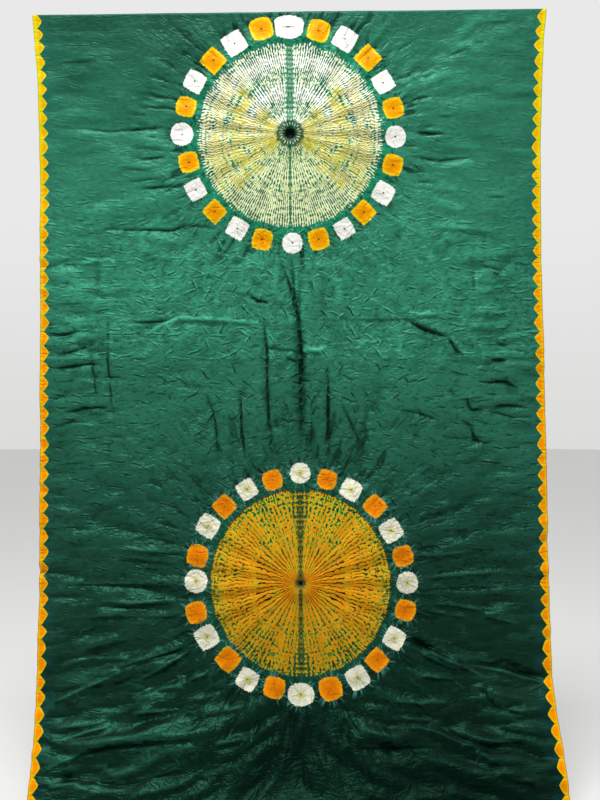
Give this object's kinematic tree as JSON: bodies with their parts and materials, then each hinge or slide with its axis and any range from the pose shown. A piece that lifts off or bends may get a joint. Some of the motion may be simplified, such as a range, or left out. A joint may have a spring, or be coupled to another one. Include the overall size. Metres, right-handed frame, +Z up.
{
  "type": "hanging bandhani cloth",
  "caption": "A tie-resist dyed satin cloth hung by its top edge, with ringed medallions, scalloped borders and a foot that sweeps onto the floor.",
  "frame": {"origin": "the middle of the top edge, where the cloth is held", "axes": "+Z up, +X to the right of a person facing the cloth, -Y forward to them"},
  "size_m": [0.926, 0.3494, 1.4313],
  "materials": {
    "dyed_cloth": "green satin weave, tie-resist dyed, with white, orange and yellow medallions and a scalloped yellow and orange border, finely puckered"
  },
  "bodies": {
    "root": {"cloth": "dyed_cloth"}
  },
  "joints": []
}
